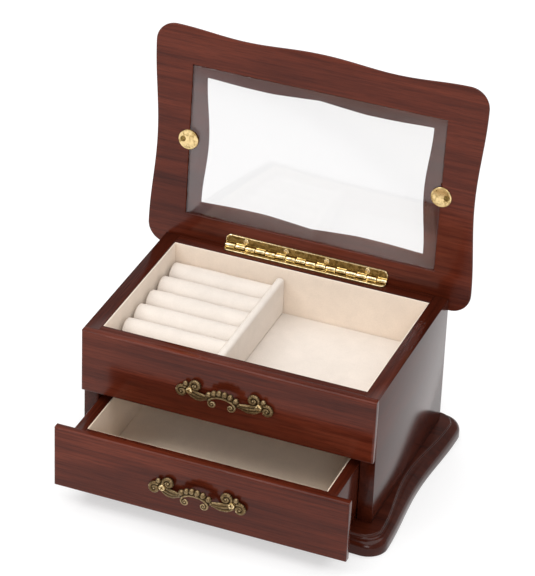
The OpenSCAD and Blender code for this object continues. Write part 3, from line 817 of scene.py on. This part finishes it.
def cast_pull_mesh():
    """The cast pull, fused into one skin, in millimetres."""
    bm = bmesh.new()
    for side in (-1, 1):
        pull_blob(bm, side * 26, 0, 1.1, (3.7, 3.7, 2.0))
        outer = mirrored(spiral(32.0, -2.0, 118, -1.45, 4.1, 0.7, 1.9), side)
        pull_tube(bm, outer, taper(outer, 1.4, 0.9, 1.85))
        pull_blob(bm, side * 32.0, -2.0, 2.6, (1.25, 1.25, 1.25))
        inner = mirrored(spiral(21.6, 4.3, -25, 1.35, 4.2, 0.7, 2.0), side)
        pull_tube(bm, inner, taper(inner, 1.3, 0.9, 1.85))
        pull_blob(bm, side * 21.6, 4.3, 2.7, (1.25, 1.25, 1.2))
        pull_blob(bm, side * 29.0, 4.6, 2.2, (2.0, 2.1, 1.9), side * 20)
        pull_blob(bm, side * 30.6, 1.9, 1.7, (1.5, 1.8, 1.5), side * 40)
        flutes = [
            ([(27.4, -3.0, 1.4), (23, -5.2, 2.0), (18, -4.8, 3.0), (13.6, -2.6, 4.6),
              (10.4, -1.0, 6.0)], 0.9, 0.75, 1.7),
            ([(25.6, -2.2, 1.9), (20.5, -2.9, 2.9), (15.5, -2.0, 4.3), (10.6, -0.5, 6.0)],
             1.1, 0.75, 1.45),
            ([(24.6, 0.2, 1.9), (19.5, -0.6, 3.1), (14.5, -0.4, 4.6), (10.4, 0.4, 6.0)],
             1.1, 0.75, 1.35)]
        for line, first, last, middle in flutes:
            run = smooth_path(mirrored(line, side), 8)
            pull_tube(bm, run, taper(run, first, last, middle), 0.85)
        curl = mirrored(spiral(7.0, -3.4, 18, -1.25, 2.9, 0.6, 6.9, 20), side)
        pull_tube(bm, curl, taper(curl, 1.0, 0.8))
        pull_blob(bm, side * 7.0, -3.4, 7.2, (1.25, 1.25, 1.15))
    core = smooth_path([(-11.5, -0.6, 5.4), (-9, 1.6, 5.8), (-5, 3.4, 6.0), (0, 4.2, 6.1),
                        (5, 3.4, 6.0), (9, 1.6, 5.8), (11.5, -0.6, 5.4)], 8)
    pull_tube(bm, core, taper(core, 1.4, 1.4, 2.3), 0.9)
    rim = smooth_path([(-9.75, -2.6, 6.8), (-8.9, -0.5, 7.0), (-6.9, 1.3, 7.2), (-3.8, 2.7, 7.4),
                       (0, 3.2, 7.5), (3.8, 2.7, 7.4), (6.9, 1.3, 7.2), (8.9, -0.5, 7.0),
                       (9.75, -2.6, 6.8)], 6)
    pull_tube(bm, rim, taper(rim, 1.0, 1.0))
    for k in range(6):
        u = -10 + 4 * k
        pull_blob(bm, u, 6.0 - 0.036 * u * u, 6.6 - 0.008 * u * u, (2.4, 2.5, 2.3), u * 4.0)
    bmesh.ops.recalc_face_normals(bm, faces=bm.faces)
    mesh = bpy.data.meshes.new("pull_raw")
    bm.to_mesh(mesh)
    bm.free()
    raw = bpy.data.objects.new("pull_raw", mesh)
    bpy.context.scene.collection.objects.link(raw)
    skin = raw.modifiers.new("skin", "REMESH")
    skin.mode = "VOXEL"
    skin.voxel_size = 0.26
    soften = raw.modifiers.new("soften", "SMOOTH")
    soften.factor = 0.5
    soften.iterations = 2
    bpy.context.view_layer.update()
    graph = bpy.context.evaluated_depsgraph_get()
    made = bpy.data.meshes.new_from_object(raw.evaluated_get(graph))
    bpy.data.objects.remove(raw)
    bpy.data.meshes.remove(mesh)
    return made


PULL_SKIN = cast_pull_mesh()
PULL_PITCH, PULL_SCREW_SEAT = 52.0, 2.9
PULL_HEAD_R, PULL_HEAD_T, PULL_HEAD_SINK = 2.45, 1.25, 0.6


def make_pull(which, panel_node, body):
    """A cast pull and its two screws on a panel."""
    pull_node = "pull_" + which
    face_y = cad_box(panel_node)[0].y
    low, high = cad_box(pull_node + "_screws")
    z = (low.z + high.z) / 2
    bm = bmesh.new()
    bm.from_mesh(PULL_SKIN)
    finish_mesh(bm, "cast_pull_" + which, BRONZE, body,
                Matrix.Translation((0, face_y, z)), 80, [pull_node])
    cross_screw("pull_screw_heads_" + which,
                [(side * PULL_PITCH / 2, face_y - PULL_SCREW_SEAT, z) for side in (-1, 1)],
                (0, -1, 0), PULL_HEAD_R, PULL_HEAD_T, SCREW_BRASS, body, None,
                [pull_node + "_screws"], PULL_HEAD_SINK)


make_pull("upper", "false_front", "case")
make_pull("lower", "drawer_front", "drawer")

# ---- velvet ----

ROLL_END_R = 1.7
CARD_EDGE_R = 0.48
PAD_EDGE_R, PAD_CROWN = 0.7, 0.35
SLAB_CELL = 4.0
DIVIDER_EDGE_R, DIVIDER_SEED, DIVIDER_CELL = 2.4, 5, 3.0


def lumpy(p, scale, amount):
    return noise(Vector(p) * scale) * amount


def make_roll(index):
    """A foam roll covered in velvet: half round on top, soft at its ends, slightly uneven."""
    node = f"ring_roll_{index}"
    low, high = cad_box(node)
    radius = (high.y - low.y) / 2
    centre_y, centre_z = (low.y + high.y) / 2, high.z - radius
    half_l, centre_x = (high.x - low.x) / 2, (high.x + low.x) / 2
    stations = [(-half_l + ROLL_END_R * (1 - math.cos(math.radians(90 * i / 6))),
                 ROLL_END_R * (1 - math.sin(math.radians(90 * i / 6)))) for i in range(7)]
    straight = half_l - ROLL_END_R
    middle = [(-straight + 2 * straight * i / 48, 0.0) for i in range(1, 48)]
    full = stations + middle + [(-x, d) for x, d in reversed(stations)]
    bm = bmesh.new()
    loops = []
    for x, inset in full:
        r = radius - inset
        section = [(-r, low.z - centre_z + 0.02)]
        section += [(-r, (low.z - centre_z) * (1 - k / 4)) for k in range(1, 4)]
        section += [(-r * math.cos(math.radians(180 * k / 30)),
                     r * math.sin(math.radians(180 * k / 30)))
                    for k in range(31)]
        section += [(r, (low.z - centre_z) * (k / 4)) for k in range(1, 4)]
        section += [(r, low.z - centre_z + 0.02)]
        points = []
        for y, z in section:
            p = Vector((x + centre_x, y + centre_y, z + centre_z))
            out = Vector((0, y, max(z, 0)))
            if out.length > 0.1:
                swell = lumpy((p.x, p.y * 1.5 + index * 31, p.z), 0.09, 0.28)
                swell += lumpy((p.x, p.y + index * 17, p.z), 0.45, 0.07) - 0.22
                p += out.normalized() * min(swell, 0.0 if abs(y) > 0.9 * radius else 0.12)
            points.append(p)
        loops.append(add_loop(bm, points))
    for a, b in zip(loops, loops[1:]):
        bridge(bm, a, b)
    fill(bm, loops[0])
    fill(bm, loops[-1])
    roll = finish_mesh(bm, f"foam_roll_{index}", CREAM, "case", None, 60, [node])


def soft_slab(name, low, high, material, body, replaces, edge, crown, seed, cell):
    """A covered card or pad: a grid on every face, round edges, a soft crown and an uneven skin."""
    low, high = Vector(low), Vector(high)
    size, centre = high - low, (high + low) / 2
    thin = min(range(3), key=lambda i: size[i])
    wide = [i for i in range(3) if i != thin]
    counts = [max(2, int(round(size[i] / cell))) for i in range(3)]
    edge = min(edge, min(size) / 2 - 0.02)
    bm = bmesh.new()
    known = {}

    def lines(i):
        """Positions along axis i: close together in the rounded edge."""
        half = size[i] / 2
        inner = half - edge
        rounded = [half - edge * (1 - math.sin(math.radians(90 * k / 3))) for k in range(1, 4)]
        flat = [-inner + 2 * inner * k / counts[i] for k in range(counts[i] + 1)]
        return [-v for v in reversed(rounded)] + flat + rounded

    axes = [lines(i) for i in range(3)]

    def vertex(p):
        key = tuple(round(c, 4) for c in p)
        if key not in known:
            core = Vector([max(-size[i] / 2 + edge, min(size[i] / 2 - edge, p[i]))
                           for i in range(3)])
            away = Vector(p) - core
            q = core + away.normalized() * edge if away.length > 1e-6 else core
            if crown and q[thin] > 0:
                share = 1.0
                for i in wide:
                    share *= max(0.0, 1 - abs(2 * q[i] / size[i]) ** 6)
                q[thin] += crown * (share - 1)
            if q[thin] > 0:
                place = q + centre
                q[thin] += (lumpy(place + Vector((seed, 0, 0)), 0.05, 0.10)
                            + lumpy(place + Vector((0, seed, 0)), 0.3, 0.03))
            known[key] = bm.verts.new(q + centre)
        return known[key]

    for axis in range(3):
        u, v = [i for i in range(3) if i != axis]
        for sign in (-1, 1):
            for a0, a1 in zip(axes[u], axes[u][1:]):
                for b0, b1 in zip(axes[v], axes[v][1:]):
                    quad = []
                    for a, b in ((a0, b0), (a1, b0), (a1, b1), (a0, b1)):
                        p = [0.0, 0.0, 0.0]
                        p[axis], p[u], p[v] = sign * size[axis] / 2, a, b
                        quad.append(vertex(p))
                    if len(set(quad)) == 4:
                        bm.faces.new(quad)
    return finish_mesh(bm, name, material, body, None, 70, replaces)


for number in range(1, 7):
    make_roll(number)


def lining(node, name, material, body):
    """A lining of velvet stretched over thin card."""
    low, high = cad_box(node)
    piece = soft_slab(name, low, high, material, body, [node], CARD_EDGE_R, 0, len(name), SLAB_CELL)


def floor_pad(node, name, material, body):
    """A covered floor card, with a slight crown."""
    low, high = cad_box(node)
    piece = soft_slab(name, low, high, material, body, [node], PAD_EDGE_R, PAD_CROWN, len(name),
                      SLAB_CELL)


# The drawer's linings and floor pad take the velvet copy with painted shade.
for where in ("front", "back", "left", "right"):
    lining("tray_lining_" + where, "tray_velvet_" + where, LINING, "case")
    lining("drawer_lining_" + where, "drawer_velvet_" + where, SHADED, "drawer")
floor_pad("tray_floor_pad", "tray_velvet_floor", CREAM, "case")
floor_pad("drawer_floor_pad", "drawer_velvet_floor", SHADED, "drawer")

low, high = cad_box("tray_divider")
divider = soft_slab("velvet_divider", low, high, CREAM, "case", ["tray_divider"],
                    DIVIDER_EDGE_R, 0, DIVIDER_SEED, DIVIDER_CELL)

# ---- floor, light and camera ----

FLOOR_GLOW = 0.52
WORLD_GLOW = 0.4


def pale_floor():
    """A plain pale floor that gives off a little light, so that its shadows stay faint."""
    material, tree, shader = new_material("pale_floor")
    cloud = noise_at(tree, 3, 2)
    tree.links.new(ramp(tree, cloud, [(0.3, (0.50, 0.50, 0.50)), (0.7, (0.52, 0.52, 0.52))]),
                   shader.inputs["Base Color"])
    shader.inputs["Emission Color"].default_value = (1, 1, 1, 1)
    shader.inputs["Emission Strength"].default_value = FLOOR_GLOW
    tree.links.new(to_range(tree, cloud, 0.6, 0.7), shader.inputs["Roughness"])
    bm = bmesh.new()
    bmesh.ops.create_grid(bm, x_segments=2, y_segments=2, size=6)
    mesh = bpy.data.meshes.new("floor")
    bm.to_mesh(mesh)
    bm.free()
    floor = bpy.data.objects.new("floor", mesh)
    mesh.materials.append(material)
    bpy.context.scene.collection.objects.link(floor)
    floor.location = (0, 0, FLOOR_Z * MM)


def area_light(name, place, aim, size, power):
    data = bpy.data.lights.new(name, "AREA")
    data.shape = "RECTANGLE"
    data.size, data.size_y = size
    data.energy = power
    lamp = bpy.data.objects.new(name, data)
    bpy.context.scene.collection.objects.link(lamp)
    lamp.location = place
    lamp.rotation_euler = (Vector(aim) - Vector(place)).to_track_quat("-Z", "Y").to_euler()


pale_floor()
area_light("overhead", (0, 0.1, 1.7), (0, 0.1, 0), (2.4, 2.4), 35)
area_light("key", (-1.0, -0.9, 1.3), (0, 0, 0.08), (0.6, 0.6), 6)
area_light("front", (0.75, -1.95, 1.2), (0, -0.05, 0.05), (0.8, 0.8), 12)

world = bpy.data.worlds.new("studio")
world.use_nodes = True
world.node_tree.nodes["Background"].inputs["Color"].default_value = (1, 1, 1, 1)
world.node_tree.nodes["Background"].inputs["Strength"].default_value = WORLD_GLOW
bpy.context.scene.world = world
bpy.context.scene.view_settings.view_transform = "Standard"

AZIMUTH, ELEVATION, ROLL = math.radians(20.78), math.radians(31.6), math.radians(-2.36)
AIM = Vector((-22.68, 58.18, 100.43)) * MM
DISTANCE = 2.2912
LENS, SENSOR = 197.2, 36
back = Vector((math.sin(AZIMUTH) * math.cos(ELEVATION), -math.cos(AZIMUTH) * math.cos(ELEVATION),
               math.sin(ELEVATION)))
right = Vector((math.cos(AZIMUTH), math.sin(AZIMUTH), 0))
up = back.cross(right)
camera_right = right * math.cos(ROLL) - up * math.sin(ROLL)
camera_up = right * math.sin(ROLL) + up * math.cos(ROLL)
camera_data = bpy.data.cameras.new("camera")
camera_data.lens = LENS
camera_data.sensor_width = SENSOR
camera = bpy.data.objects.new("camera", camera_data)
bpy.context.scene.collection.objects.link(camera)
camera.matrix_world = (Matrix.Translation(AIM + back * DISTANCE)
                       @ Matrix((camera_right, camera_up, back)).transposed().to_4x4())
bpy.context.scene.camera = camera
